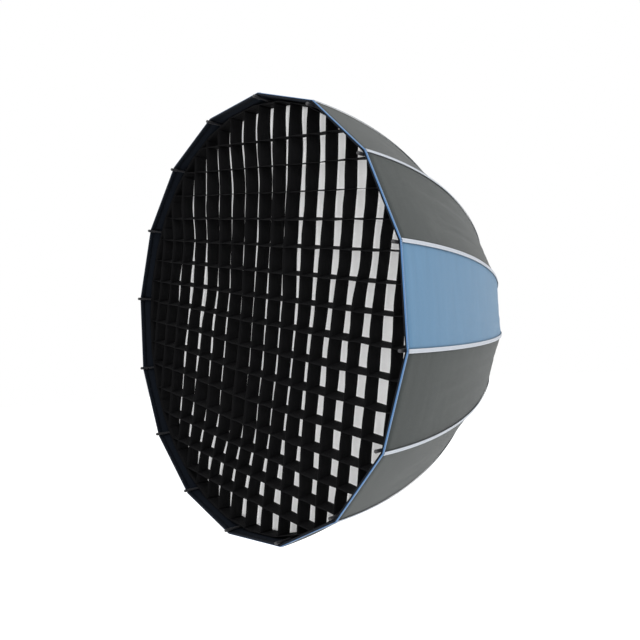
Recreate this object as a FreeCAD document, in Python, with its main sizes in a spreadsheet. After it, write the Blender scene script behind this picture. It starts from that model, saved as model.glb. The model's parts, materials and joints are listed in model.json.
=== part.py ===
import FreeCAD, Part
import Sketcher
import math
import os

# Sixteen-sided folding light shade with its hub, bayonet insert, front diffuser and egg-crate grid.
# Millimetres, +Z up. The optical axis is Y: the shade opens towards -Y. The origin is the centre of
# the bayonet insert's seating face, which rests on the lamp, and the lamp stands on the +Y side.
# "depth" below is counted from the rim plane back along the axis.

os.makedirs("parts", exist_ok=True)
doc = FreeCAD.newDocument("folding_shade")
sheet = doc.addObject("Spreadsheet::Sheet", "Sizes")

ROW = {"next": 1}


def put(alias, value, note=""):
    """One size in the sheet: a plain number with a name."""
    row = ROW["next"]
    ROW["next"] += 1
    sheet.set(f"A{row}", alias)
    sheet.set(f"B{row}", repr(round(float(value), 9)))
    sheet.setAlias(f"B{row}", alias)
    if note:
        sheet.set(f"C{row}", note)
    return value


# --- driving sizes ------------------------------------------------------------------------------

SIDES = 16
HUB_SCREWS = 8
INSERT_SCREWS = 4
LUGS = 3
HAIR = 1e-9  # to one side of the place where two bends meet, in radians
OVERRUN = 1  # how far a cut goes past the face that it opens
PAST_THE_EDGE = 1.2  # size of a rough blank over the finished cloth
DRIVE_SIZE = 0.85  # six-sided drive hole to a screw's radius
DRIVE_FLOOR = 0.4  # part of a screw's head left under its drive hole

rim_radius = put("rim_radius", 450, "axis to a corner of the rim, outside of the fabric")
fabric = put("fabric", 0.8, "thickness of every cloth panel")
band = put("band", 1.0, "thickness of webbing, binding and hems")
seam_gap = put("seam_gap", 0.3, "between sewn neighbours that ride on different ribs")
seat_gap = put("seat_gap", 0.3, "between pieces that lie against each other")

rod_radius = put("rod_radius", 2.2)
rod_to_corner = put("rod_to_corner", 8.4, "rod's line to the outside corner of the shade")
rim_angle = put("rim_angle", 3, "rod against the axis at the rim, degrees")
bend_angle = put("bend_angle", 33, "rod against the axis where the tighter bend starts, degrees")
rod_front_bend = put("rod_front_bend", 922, "radius of the long bend")
rod_root_bend = put("rod_root_bend", 468, "radius of the tighter bend near the hub")
tip_straight = put("tip_straight", 20, "straight end of the rod, half of it before the rim")
tip_reach = put("tip_reach", 9, "rim plane to the centre of the rod's end ball")
tip_ball = put("tip_ball", 3.4, "radius of the end ball")
tip_sleeve = put("tip_sleeve", 3.1, "radius of the end cap's sleeve")
tip_sleeve_back = put("tip_sleeve_back", 5, "rim plane to the back of the sleeve")

hinge_radius = put("hinge_radius", 85, "axis to a rib's hinge pin")
pin_radius = put("pin_radius", 1.5)
pin_length = put("pin_length", 19)
pin_play = put("pin_play", 0.05, "radial play of the pin in the foot and of the rod in its socket")
foot_width = put("foot_width", 7.4)
foot_eye = put("foot_eye", 6)
foot_arm_half = put("foot_arm_half", 4.3, "half the height of the foot's arm")
foot_arm = put("foot_arm", 17, "hinge to the start of the round socket")
socket_radius = put("socket_radius", 4.2)
socket_end = put("socket_end", 42, "hinge to the socket's mouth")
socket_depth = put("socket_depth", 22)

hub_outer = put("hub_outer", 96)
hub_inner = put("hub_inner", 54)
hub_base_depth = put("hub_base_depth", 10)
hub_cap_depth = put("hub_cap_depth", 8)
hub_cap_inner = put("hub_cap_inner", 61)
slot_play = put("slot_play", 0.4, "each side of a foot")
slot_floor = put("slot_floor", 2.4, "left of the base under a slot")
slot_end_play = put("slot_end_play", 1.5, "inner end of a slot to the foot's eye")
screw_circle = put("screw_circle", 69)
screw_radius = put("screw_radius", 2)
screw_head = put("screw_head", 3.6)
screw_head_depth = put("screw_head_depth", 3)
screw_play = put("screw_play", 0.15)
screw_bite = put("screw_bite", 7, "length of a hub screw in the base")
clamp_width = put("clamp_width", 7.5, "band that holds the shade's rear hem on the hub")
clamp_wall = put("clamp_wall", 2)
rear_hem = put("rear_hem", 102, "axis to a corner of the shade's rear edge")

insert_outer = put("insert_outer", 76)
insert_bore = put("insert_bore", 46, "hole that the lamp's front reaches into")
insert_flange = put("insert_flange", 4)
collar_wall = put("collar_wall", 3)
collar_length = put("collar_length", 10)
lug_reach = put("lug_reach", 7)
lug_depth = put("lug_depth", 3.5)
lug_angle = put("lug_angle", 30, "arc of one lug, degrees")
insert_screw_circle = put("insert_screw_circle", 65)
insert_screw_bite = put("insert_screw_bite", 5)

lip_start = put("lip_start", 1, "depth at which the inner band starts")
lip_end = put("lip_end", 78, "depth at which the inner band ends")
binding_front = put("binding_front", 1, "binding before the rim plane")
binding_outside = put("binding_outside", 4, "binding down the outside of the shade")
binding_inside = put("binding_inside", 8, "binding down the inner band")
tape_width = put("tape_width", 7, "tape over a seam")
tape_wall = put("tape_wall", 0.8)

grid_recess = put("grid_recess", 20, "rim plane to the front of the grid")
grid_depth = put("grid_depth", 30, "depth of the grid's strips")
grid_pitch_across = put("grid_pitch_across", 48.7, "one upright strip to the next")
grid_pitch_up = put("grid_pitch_up", 52.3, "one level strip to the next")
grid_strip = put("grid_strip", 1.2, "thickness of a strip")
grid_border = put("grid_border", 1.6, "thickness of the grid's outer band")
grid_turn = put("grid_turn", 11, "grid's strips against the shade's level sides, degrees")
diffuser_gap = put("diffuser_gap", 3, "back of the grid to the diffuser")
diffuser_hem = put("diffuser_hem", 16, "depth of the diffuser's hem")
rim_play = put("rim_play", 0.5, "grid and diffuser inside the inner band")
rod_play = put("rod_play", 0.7, "grid and diffuser beside a rod")

# --- places worked out from them ----------------------------------------------------------------

half = math.pi / SIDES
cos_half = math.cos(half)


def deg(angle):
    return math.degrees(angle)


class TwoBends:
    """A rib's line in its own plane: a long bend from the rim, then a tighter one that meets it."""

    def __init__(self, start_radius, front, root, first, joint, end_radius, straight=0.0):
        self.front, self.root = front, root
        self.first, self.joint = first, joint
        self.front_centre = (start_radius - front * math.cos(first), -front * math.sin(first))
        shift = front - root
        self.root_centre = (
            self.front_centre[0] + shift * math.cos(joint),
            self.front_centre[1] + shift * math.sin(joint),
        )
        # the tighter bend ends where a straight of the given length reaches end_radius
        reach = math.hypot(root, straight)
        self.last = math.acos((end_radius - self.root_centre[0]) / reach) - math.atan2(straight, root)

    def at(self, angle, inwards=0.0):
        """Radius and depth of the point whose tangent leans that angle from the axis."""
        long = angle < self.joint
        centre = self.front_centre if long else self.root_centre
        radius = (self.front if long else self.root) - inwards
        return centre[0] + radius * math.cos(angle), centre[1] + radius * math.sin(angle)

    def radius_at(self, depth, inwards=0.0):
        """Radius at a depth on the long bend."""
        bend = self.front - inwards
        lean = math.asin((depth - self.front_centre[1]) / bend)
        return self.front_centre[0] + bend * math.cos(lean)

    def lean_at(self, depth, inwards=0.0):
        return math.asin((depth - self.front_centre[1]) / (self.front - inwards))


def squeezed_bend(radius, lean):
    """Radius of a bend seen halfway between two ribs, where all radii are cos_half as long."""
    slope = math.tan(lean)
    return radius * ((1 + (cos_half * slope) ** 2) / (1 + slope**2)) ** 1.5 / cos_half


def squeezed_lean(lean):
    return math.atan(cos_half * math.tan(lean))


def stretched_lean(lean):
    """The other way round: from halfway between two ribs to a rib."""
    return math.atan(math.tan(lean) / cos_half)


first, joint = math.radians(rim_angle), math.radians(bend_angle)
rod = TwoBends(
    rim_radius - rod_to_corner, rod_front_bend, rod_root_bend, first, joint, hinge_radius, socket_end
)
panel = TwoBends(
    rim_radius * cos_half,
    squeezed_bend(rod_front_bend + rod_to_corner, (first + joint) / 2),
    squeezed_bend(rod_root_bend + rod_to_corner, (joint + rod.last) / 2),
    squeezed_lean(first),
    squeezed_lean(joint),
    rear_hem * cos_half,
)

socket_mouth = rod.at(rod.last)
hinge_depth = socket_mouth[1] + socket_end * math.cos(rod.last)
seat_depth = hinge_depth + hub_base_depth + insert_flange


def along(depth):
    """Y of a depth behind the rim."""
    return depth - seat_depth


y_hinge = put("y_hinge", along(hinge_depth))
y_cap_front = put("y_cap_front", along(hinge_depth - hub_cap_depth))
y_base_back = put("y_base_back", along(hinge_depth + hub_base_depth))
foot_turn = put("foot_turn", deg(rod.last) - 90, "foot against the X axis, degrees")
slot_width = put("slot_width", foot_width + 2 * slot_play)
slot_inner = put("slot_inner", hinge_radius - foot_eye - slot_end_play)
step_angle = 360 / SIDES

# --- helpers ------------------------------------------------------------------------------------


def bind(thing, name, formula):
    thing.setExpression(name, formula)
    return thing


def cell(name):
    return f"Sizes.{name}"


def plane(body, role):
    return next(f for f in body.Origin.OriginFeatures if f.Role == role)


def new_body(name):
    return doc.addObject("PartDesign::Body", name)


def new_sketch(body, name, role, offset=None):
    sketch = body.newObject("Sketcher::SketchObject", name)
    sketch.AttachmentSupport = [(plane(body, role), "")]
    sketch.MapMode = "FlatFace"
    if offset:
        bind(sketch, "AttachmentOffset.Base.z", offset)
    return sketch


def outline(sketch, points, bends=None):
    """A closed loop through the points, each (x, y). bends maps the number of a stretch to (centre, radius).

    Every corner's place and every bend's radius is a cell of the sheet, so the loop is fully held.
    """
    bends = bends or {}
    first_piece = sketch.GeometryCount
    vector = FreeCAD.Vector
    ends = []
    for number, start in enumerate(points):
        stop = points[(number + 1) % len(points)]
        if number in bends:
            centre, radius = bends[number]
            angles = [math.atan2(p[1] - centre[1], p[0] - centre[0]) for p in (start, stop)]
            turn = (angles[1] - angles[0] + math.pi) % (2 * math.pi) - math.pi
            forward = turn > 0
            low, high = (angles[0], angles[0] + turn) if forward else (angles[0] + turn, angles[0])
            circle = Part.Circle(vector(centre[0], centre[1], 0), vector(0, 0, 1), radius)
            piece = sketch.addGeometry(Part.ArcOfCircle(circle, low, high))
            ends.append((piece, 1, 2) if forward else (piece, 2, 1))
            alias = f"{sketch.Name}_bend{number}"
            put(alias, radius)
            held = sketch.addConstraint(Sketcher.Constraint("Radius", piece, radius))
            sketch.setExpression(f"Constraints[{held}]", cell(alias))
        else:
            piece = sketch.addGeometry(
                Part.LineSegment(vector(start[0], start[1], 0), vector(stop[0], stop[1], 0))
            )
            ends.append((piece, 1, 2))
    for number, (piece, _, end) in enumerate(ends):
        after = ends[(number + 1) % len(ends)]
        sketch.addConstraint(Sketcher.Constraint("Coincident", piece, end, after[0], after[1]))
    for number, (piece, begin, _) in enumerate(ends):
        for way, kind in ((0, "DistanceX"), (1, "DistanceY")):
            alias = f"{sketch.Name}_{'xy'[way]}{first_piece + number}"
            put(alias, points[number][way])
            held = sketch.addConstraint(Sketcher.Constraint(kind, piece, begin, points[number][way]))
            sketch.setExpression(f"Constraints[{held}]", cell(alias))


def box_outline(sketch, x_low, y_low, x_high, y_high):
    outline(sketch, [(x_low, y_low), (x_high, y_low), (x_high, y_high), (x_low, y_high)])


def round_outline(sketch, x, y, radius_formula, radius):
    """A circle held at (x, y) whose radius follows the sheet."""
    circle = Part.Circle(FreeCAD.Vector(x, y, 0), FreeCAD.Vector(0, 0, 1), radius)
    piece = sketch.addGeometry(circle)
    for kind, value, letter in (("DistanceX", x, "x"), ("DistanceY", y, "y")):
        alias = f"{sketch.Name}_c{letter}"
        put(alias, value)
        held = sketch.addConstraint(Sketcher.Constraint(kind, piece, 3, value))
        sketch.setExpression(f"Constraints[{held}]", cell(alias))
    held = sketch.addConstraint(Sketcher.Constraint("Radius", piece, radius))
    sketch.setExpression(f"Constraints[{held}]", radius_formula)


def pad(body, name, sketch, length, both_ways=True):
    feature = body.newObject("PartDesign::Pad", name)
    feature.Profile = sketch
    feature.SideType = "Symmetric" if both_ways else "One side"
    return bind(feature, "Length", length)


def pocket(body, name, sketch, length=None):
    """Cuts to both sides of the sketch: through everything, or that long in all."""
    feature = body.newObject("PartDesign::Pocket", name)
    feature.Profile = sketch
    feature.SideType = "Symmetric"
    if length:
        bind(feature, "Length", length)
    else:
        feature.Type = "ThroughAll"
    return feature


def revolve(body, name, sketch, angle=360, both_ways=False):
    feature = body.newObject("PartDesign::Revolution", name)
    feature.Profile = sketch
    feature.ReferenceAxis = (plane(body, "Y_Axis"), [""])
    feature.Angle = angle
    feature.Midplane = both_ways
    return feature


def around(body, name, feature, count):
    """Repeats a feature evenly about the optical axis."""
    doc.recompute()
    pattern = body.newObject("PartDesign::PolarPattern", name)
    pattern.Originals = [feature]
    pattern.Axis = (plane(body, "Y_Axis"), [""])
    pattern.Angle = 360
    pattern.Occurrences = count
    body.Tip = pattern
    return pattern


def turned(angle, base=None):
    """Placement turned about the optical axis; positive is clockwise seen from the front."""
    turn = FreeCAD.Rotation(FreeCAD.Vector(0, 1, 0), angle)
    return FreeCAD.Placement(turn.multVec(base or FreeCAD.Vector()), turn)


NODES = []


def node(label, pieces, placement=None):
    """A sub-part: its solids side by side in one compound, with its own label and place."""
    group = doc.addObject("Part::Compound", f"node_{label}")
    group.Links = pieces
    group.Label = label
    group.Placement = placement or FreeCAD.Placement()
    NODES.append(group)
    return group


# --- ribs: a spring rod that bends forward from its foot, with a ball cap at the rim ------------


def bent_stretch(name, centre, bend, start, stop):
    """Round rod along a bend, from one lean to another, as a sector of a ring."""
    ring = doc.addObject("Part::Torus", name)
    put(f"{name}_bend", bend)
    put(f"{name}_x", centre[0])
    put(f"{name}_y", along(centre[1]))
    put(f"{name}_from", deg(start))
    put(f"{name}_sweep", deg(stop - start))
    bind(ring, "Radius1", cell(f"{name}_bend"))
    bind(ring, "Radius2", cell("rod_radius"))
    bind(ring, "Angle3", cell(f"{name}_sweep"))
    bind(ring, "Placement.Base.x", cell(f"{name}_x"))
    bind(ring, "Placement.Base.y", cell(f"{name}_y"))
    bind(ring, "Placement.Rotation.Angle", cell(f"{name}_from"))
    return ring


def straight_stretch(name, start, lean, length, radius_name):
    """Round bar from a point (radius, depth) towards the hub, leaning from the axis."""
    bar = doc.addObject("Part::Cylinder", name)
    put(f"{name}_length", length)
    put(f"{name}_x", start[0])
    put(f"{name}_y", along(start[1]))
    bind(bar, "Radius", cell(radius_name))
    bind(bar, "Height", cell(f"{name}_length"))
    bar.Placement.Rotation = FreeCAD.Rotation(
        FreeCAD.Vector(0, 0, 1), FreeCAD.Vector(-math.sin(lean), math.cos(lean), 0)
    )
    bind(bar, "Placement.Base.x", cell(f"{name}_x"))
    bind(bar, "Placement.Base.y", cell(f"{name}_y"))
    return bar


def step(point, lean, distance):
    """The point that far towards the hub along a straight."""
    return point[0] - distance * math.sin(lean), point[1] + distance * math.cos(lean)


tip_lean = rod.lean_at(tip_straight / 2)
tip_root = rod.at(tip_lean)
tip_front = step(tip_root, tip_lean, -tip_straight)
cap_bore_end = tip_reach - 2
rod_front_end = step(tip_root, tip_lean, -(tip_straight / 2 + cap_bore_end))

rod_pieces = [
    straight_stretch("rod_tip", rod_front_end, tip_lean, tip_straight / 2 + cap_bore_end, "rod_radius"),
    bent_stretch("rod_long", rod.front_centre, rod.front, tip_lean, rod.joint),
    bent_stretch("rod_short", rod.root_centre, rod.root, rod.joint, rod.last),
    straight_stretch("rod_root", socket_mouth, rod.last, socket_depth - seat_gap, "rod_radius"),
]
rod_solid = doc.addObject("Part::MultiFuse", "rod_solid")
rod_solid.Shapes = rod_pieces
rod_solid.Refine = True

ball_centre = step(tip_root, tip_lean, -(tip_straight / 2 + tip_reach))
ball = doc.addObject("Part::Sphere", "tip_ball_end")
put("ball_x", ball_centre[0])
put("ball_y", along(ball_centre[1]))
bind(ball, "Radius", cell("tip_ball"))
bind(ball, "Placement.Base.x", cell("ball_x"))
bind(ball, "Placement.Base.y", cell("ball_y"))
sleeve = straight_stretch("tip_cap_sleeve", ball_centre, tip_lean, tip_reach + tip_sleeve_back, "tip_sleeve")
cap_solid = doc.addObject("Part::Fuse", "tip_cap_solid")
cap_solid.Base, cap_solid.Tool = ball, sleeve
put("tip_bore", rod_radius + pin_play)
bore = straight_stretch(
    "tip_cap_bore",
    step(rod_front_end, tip_lean, -pin_play),
    tip_lean,
    cap_bore_end + tip_sleeve_back + tip_straight / 2,
    "tip_bore",
)
tip_cap = doc.addObject("Part::Cut", "tip_cap")
tip_cap.Base, tip_cap.Tool = cap_solid, bore

# --- rib foot: an eye on the hinge pin, a flat arm in the hub's slot, a round socket for the rod 

foot = new_body("foot")
side = new_sketch(foot, "foot_side", "XY_Plane")
outline(
    side,
    [(0, foot_eye), (-foot_eye, 0), (0, -foot_eye), (foot_arm, -foot_arm_half), (foot_arm, foot_arm_half)],
    {0: ((0, 0), foot_eye), 1: ((0, 0), foot_eye)},
)
pad(foot, "foot_plate", side, cell("foot_width"))
put("foot_socket_start", foot_arm - 1)
ring = new_sketch(foot, "foot_ring", "YZ_Plane", cell("foot_socket_start"))
round_outline(ring, 0, 0, cell("socket_radius"), socket_radius)
put("foot_socket_length", socket_end - foot_arm + 1)
pad(foot, "foot_socket", ring, cell("foot_socket_length"), both_ways=False)
hole = new_sketch(foot, "foot_bore", "YZ_Plane", cell("socket_end"))
put("socket_bore", rod_radius + pin_play)
round_outline(hole, 0, 0, cell("socket_bore"), rod_radius + pin_play)
put("socket_cut", 2 * socket_depth)
pocket(foot, "foot_rod_hole", hole, cell("socket_cut"))
eye = new_sketch(foot, "foot_eye_hole", "XY_Plane")
put("eye_bore", pin_radius + pin_play)
round_outline(eye, 0, 0, cell("eye_bore"), pin_radius + pin_play)
pocket(foot, "foot_pin_hole", eye)
foot_in_place = doc.addObject("Part::Compound", "foot_in_place")
foot_in_place.Links = [foot]
bind(foot_in_place, "Placement.Base.x", cell("hinge_radius"))
bind(foot_in_place, "Placement.Base.y", cell("y_hinge"))
bind(foot_in_place, "Placement.Rotation.Angle", cell("foot_turn"))

# --- gores: cloth between two ribs, flat across and bent like the ribs from rim to hub ----------

wedge_apex = seam_gap / 2 / math.sin(half)
wedge_far = rim_radius * PAST_THE_EDGE
wedge_wide = wedge_far * math.tan(half) * PAST_THE_EDGE


def trim_to_wedge(body, name):
    """Cuts a padded band back to its own sixteenth of the shade."""
    sketch = new_sketch(body, f"{name}_wedge", "XZ_Plane")
    near = hub_inner
    for way in (1, -1):
        low, high = ((x - wedge_apex) * math.tan(half) for x in (near, wedge_far))
        corners = [(near, way * low), (wedge_far, way * high), (wedge_far, way * wedge_wide)]
        outline(sketch, corners + [(near, way * wedge_wide)])
    pocket(body, f"{name}_trim", sketch)


put("pad_width", 2 * rim_radius * math.tan(half) * PAST_THE_EDGE)


def bent_band(name, inwards, wall, start, stop=None):
    """A band of that wall, that far inside the panel's face, from one depth to another or to the hub."""
    body = new_body(name)
    sketch = new_sketch(body, f"{name}_edge", "XY_Plane")
    inner = inwards + wall
    leans = [panel.lean_at(start, inwards), panel.lean_at(start, inner)]
    if stop is None:
        mids = [panel.at(panel.joint + HAIR, face) for face in (inwards, inner)]
        ends = [panel.at(panel.last, face) for face in (inwards, inner)]
        loop = [panel.at(leans[0], inwards), mids[0], ends[0], ends[1], mids[1], panel.at(leans[1], inner)]
        long, short = panel.front_centre, panel.root_centre
        bends = {0: (long, panel.front - inwards), 1: (short, panel.root - inwards)}
        bends.update({3: (short, panel.root - inner), 4: (long, panel.front - inner)})
    else:
        ends = [panel.at(panel.lean_at(stop, face), face) for face in (inwards, inner)]
        loop = [panel.at(leans[0], inwards), ends[0], ends[1], panel.at(leans[1], inner)]
        centre = panel.front_centre
        bends = {0: (centre, panel.front - inwards), 2: (centre, panel.front - inner)}
    shifted = {key: ((centre[0], along(centre[1])), radius) for key, (centre, radius) in bends.items()}
    outline(sketch, [(radius, along(depth)) for radius, depth in loop], shifted)
    pad(body, f"{name}_pad", sketch, cell("pad_width"))
    trim_to_wedge(body, name)
    return body


gore_panel = bent_band("gore_panel", 0, fabric, 0)
inner_band = bent_band("inner_band", fabric + seat_gap, band, lip_start, lip_end)

# the binding is folded over the rim: a strip outside, one inside and the fold before the edge
binding = new_body("binding")
fold = new_sketch(binding, "binding_fold", "XY_Plane")
lip_face = fabric + seat_gap + band
out_face = rim_radius * cos_half + seat_gap + band
gap_out = rim_radius * cos_half + seat_gap
gap_in = panel.radius_at(binding_inside, lip_face) - seat_gap
in_face = gap_in - band
fold_front = -binding_front - band
outline(
    fold,
    [
        (out_face, along(fold_front)),
        (out_face, along(binding_outside)),
        (gap_out, along(binding_outside)),
        (gap_out, along(-binding_front)),
        (gap_in, along(-binding_front)),
        (gap_in, along(binding_inside)),
        (in_face, along(binding_inside)),
        (in_face, along(fold_front)),
    ],
)
pad(binding, "binding_pad", fold, cell("pad_width"))
trim_to_wedge(binding, "binding")

# the tape lies flat over a corner of the shade, so it follows the corner's line in the rib's own plane
tape = new_body("seam_tape")
tape_edge = new_sketch(tape, "seam_tape_edge", "XY_Plane")
tape_start = binding_outside + seat_gap


def corner_point(lean, rise):
    """A point above the shade's corner line: the panels' own curve, stretched out to the corner."""
    radius, depth = panel.at(squeezed_lean(lean))
    return radius / cos_half + rise * math.cos(lean), depth + rise * math.sin(lean)


def through(start, middle, stop):
    """Centre and radius of the circle through three points."""
    circle = Part.Circle(*(FreeCAD.Vector(x, y, 0) for x, y in (start, middle, stop)))
    return (circle.Center.x, circle.Center.y), circle.Radius


def corner_bend(low, high, rise):
    points = [corner_point(low + (high - low) * share, rise) for share in (0, 0.5, 1)]
    points = [(radius, along(depth)) for radius, depth in points]
    return points, through(*points)


tape_first = stretched_lean(panel.lean_at(tape_start))
tape_last = stretched_lean(panel.last)
inner_long, inner_long_bend = corner_bend(tape_first, joint - HAIR, seat_gap)
inner_short, inner_short_bend = corner_bend(joint + HAIR, tape_last, seat_gap)
outer_long, outer_long_bend = corner_bend(tape_first, joint - HAIR, seat_gap + tape_wall)
outer_short, outer_short_bend = corner_bend(joint + HAIR, tape_last, seat_gap + tape_wall)
outline(
    tape_edge,
    [outer_long[0], outer_long[2], outer_short[2], inner_short[2], inner_long[2], inner_long[0]],
    {0: outer_long_bend, 1: outer_short_bend, 3: inner_short_bend, 4: inner_long_bend},
)
pad(tape, "seam_tape_pad", tape_edge, cell("tape_width"))

# --- hub: base and cap close on the hinge pins, with a slot for each foot -----------------------


def slotted_ring(name, inner, front, back, slot_front, slot_back):
    """Ring about the axis with a slot for each foot and half a groove for each pin."""
    body = new_body(name)
    section = new_sketch(body, f"{name}_section", "XY_Plane")
    box_outline(section, inner, along(front), hub_outer, along(back))
    revolve(body, f"{name}_ring", section)
    slot = new_sketch(body, f"{name}_slot", "XY_Plane")
    box_outline(slot, slot_inner, along(slot_front), hub_outer + OVERRUN, along(slot_back))
    cut = pocket(body, f"{name}_slot_cut", slot, cell("slot_width"))
    around(body, f"{name}_slots", cut, SIDES)
    groove = new_sketch(body, f"{name}_groove", "XY_Plane")
    round_outline(groove, hinge_radius, along(hinge_depth), cell("eye_bore"), pin_radius + pin_play)
    put(f"{name}_groove_length", pin_length + 2 * pin_play)
    cut = pocket(body, f"{name}_groove_cut", groove, cell(f"{name}_groove_length"))
    around(body, f"{name}_grooves", cut, SIDES)
    return body


def screw_holes(body, name, circle, radius, depth, length, count, start=0.0):
    """Round holes parallel to the axis, centred on a depth and evenly spaced."""
    level = new_sketch(body, f"{name}_hole", "XZ_Plane")
    put(f"{name}_level", -along(depth))
    bind(level, "AttachmentOffset.Base.z", cell(f"{name}_level"))
    put(f"{name}_radius", radius)
    turn = math.radians(start)
    round_outline(level, circle * math.cos(turn), circle * math.sin(turn), cell(f"{name}_radius"), radius)
    put(f"{name}_length", 2 * length)
    cut = pocket(body, f"{name}_cut", level, cell(f"{name}_length"))
    around(body, f"{name}s", cut, count)


cap_front = hinge_depth - hub_cap_depth
base_back = hinge_depth + hub_base_depth
slot_back = base_back - slot_floor
base = slotted_ring("base", hub_inner, hinge_depth, base_back, hinge_depth - OVERRUN, slot_back)
screw_hole = screw_radius + screw_play
screw_holes(base, "base_screw", screw_circle, screw_hole, hinge_depth, screw_bite, HUB_SCREWS)
insert_hole_depth = insert_screw_bite + seat_gap
insert_turn = step_angle * 1.5
screw_holes(
    base, "base_back_screw", insert_screw_circle, screw_hole, base_back, insert_hole_depth,
    INSERT_SCREWS, insert_turn,
)
cap = slotted_ring(
    "cap", hub_cap_inner, cap_front, hinge_depth, cap_front - OVERRUN, hinge_depth + OVERRUN
)
cap_hole_length = hub_cap_depth + OVERRUN
screw_holes(cap, "cap_screw", screw_circle, screw_hole, cap_front, cap_hole_length, HUB_SCREWS)
head_hole = screw_head + screw_play
screw_holes(cap, "cap_sink", screw_circle, head_hole, cap_front, screw_head_depth, HUB_SCREWS)

pins = []
for number in range(SIDES):
    pin = doc.addObject("Part::Cylinder", f"hinge_pin_{number + 1:02d}")
    bind(pin, "Radius", cell("pin_radius"))
    bind(pin, "Height", cell("pin_length"))
    start = FreeCAD.Vector(hinge_radius, y_hinge, -pin_length / 2)
    pin.Placement = turned((number - 0.5) * step_angle, start)
    pins.append(pin)


def screw(name, circle, angle, head_depth, head_towards_back, head, bite):
    """Round-headed screw parallel to the axis: its head's seat lies at head_depth."""
    towards = 1 if head_towards_back else -1
    shank = doc.addObject("Part::Cylinder", f"{name}_shank")
    bind(shank, "Radius", cell("screw_radius"))
    put(f"{name}_shank_length", bite)
    bind(shank, "Height", cell(f"{name}_shank_length"))
    crown = doc.addObject("Part::Cylinder", f"{name}_head")
    bind(crown, "Radius", cell("screw_head"))
    put(f"{name}_head_length", head)
    bind(crown, "Height", cell(f"{name}_head_length"))
    drive = doc.addObject("Part::Prism", f"{name}_drive")
    drive.Polygon = 6
    drive.Circumradius = screw_radius * DRIVE_SIZE
    drive.Height = head
    seat = FreeCAD.Vector(circle, along(head_depth), 0)
    outwards = FreeCAD.Rotation(FreeCAD.Vector(0, 0, 1), FreeCAD.Vector(0, towards, 0))
    inwards = FreeCAD.Rotation(FreeCAD.Vector(0, 0, 1), FreeCAD.Vector(0, -towards, 0))
    crown.Placement = FreeCAD.Placement(seat, outwards)
    shank.Placement = FreeCAD.Placement(seat, inwards)
    floor = seat + FreeCAD.Vector(0, towards * head * DRIVE_FLOOR, 0)
    drive.Placement = FreeCAD.Placement(floor, outwards)
    body = doc.addObject("Part::Fuse", f"{name}_blank")
    body.Base, body.Tool = shank, crown
    result = doc.addObject("Part::Cut", name)
    result.Base, result.Tool = body, drive
    result.Placement = turned(angle)
    return result


cap_seat = cap_front + screw_head_depth
hub_screws = []
for number in range(HUB_SCREWS):
    angle = number * 360 / HUB_SCREWS
    shank_length = hinge_depth - cap_seat + screw_bite - seat_gap
    name = f"hub_screw_{number + 1}"
    head_height = screw_head_depth - seat_gap
    hub_screws.append(screw(name, screw_circle, angle, cap_seat, False, head_height, shank_length))

# the band that clamps the shade's rear hem on the hub's edge
clamp = new_body("clamp_band")
clamp_section = new_sketch(clamp, "clamp_band_section", "XY_Plane")
clamp_in = hub_outer + seat_gap
clamp_back = base_back - seat_gap
clamp_out = clamp_in + clamp_wall
box_outline(clamp_section, clamp_in, along(clamp_back - clamp_width), clamp_out, along(clamp_back))
revolve(clamp, "clamp_band_ring", clamp_section)

# --- bayonet insert: a flange screwed to the hub, and a collar with three lugs that goes into the lamp 

insert = new_body("insert")
insert_section = new_sketch(insert, "insert_section", "XY_Plane")
collar_outer = insert_bore + collar_wall
outline(
    insert_section,
    [
        (insert_bore, along(base_back)),
        (insert_outer, along(base_back)),
        (insert_outer, along(seat_depth)),
        (collar_outer, along(seat_depth)),
        (collar_outer, along(seat_depth + collar_length)),
        (insert_bore, along(seat_depth + collar_length)),
    ],
)
revolve(insert, "insert_ring", insert_section)
lug = new_sketch(insert, "insert_lug", "XY_Plane")
lug_back = seat_depth + collar_length
lug_root = collar_outer - collar_wall / 2
box_outline(lug, lug_root, along(lug_back - lug_depth), collar_outer + lug_reach, along(lug_back))
lug_arc = revolve(insert, "insert_lug_arc", lug, lug_angle, both_ways=True)
bind(lug_arc, "Angle", cell("lug_angle"))
around(insert, "insert_lugs", lug_arc, LUGS)
screw_holes(
    insert, "insert_hole", insert_screw_circle, screw_hole, base_back, insert_flange + OVERRUN,
    INSERT_SCREWS, insert_turn,
)
insert_sink = insert_flange / 2
screw_holes(
    insert, "insert_sink", insert_screw_circle, head_hole, seat_depth, insert_sink, INSERT_SCREWS,
    insert_turn,
)
insert_screws = []
for number in range(INSERT_SCREWS):
    angle = -insert_turn + number * 360 / INSERT_SCREWS
    name = f"insert_screw_{number + 1}"
    seat = seat_depth - insert_sink
    bite = insert_sink + insert_screw_bite
    insert_screws.append(screw(name, insert_screw_circle, angle, seat, True, insert_sink - seat_gap, bite))

# --- diffuser and grid: sixteen sides inside the inner band, with their corners cut back for the rods 


def plate(name, flat, corner_flat, front, thick):
    """Solid between two depths with sixteen sides at "flat" and its corners cut at "corner_flat"."""
    solids = []
    for kind, distance, turn in (("sides", flat, 0.5), ("corners", corner_flat, 0.0)):
        prism = doc.addObject("Part::Prism", f"{name}_{kind}")
        prism.Polygon = SIDES
        put(f"{name}_{kind}_reach", distance / cos_half)
        bind(prism, "Circumradius", cell(f"{name}_{kind}_reach"))
        put(f"{name}_{kind}_thick", thick)
        bind(prism, "Height", cell(f"{name}_{kind}_thick"))
        along_axis = FreeCAD.Rotation(FreeCAD.Vector(0, 0, 1), FreeCAD.Vector(0, 1, 0))
        spin = FreeCAD.Rotation(FreeCAD.Vector(0, 1, 0), turn * step_angle)
        prism.Placement = FreeCAD.Placement(FreeCAD.Vector(0, along(front), 0), spin * along_axis)
        solids.append(prism)
    both = doc.addObject("Part::Common", name)
    both.Base, both.Tool = solids
    return both


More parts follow.
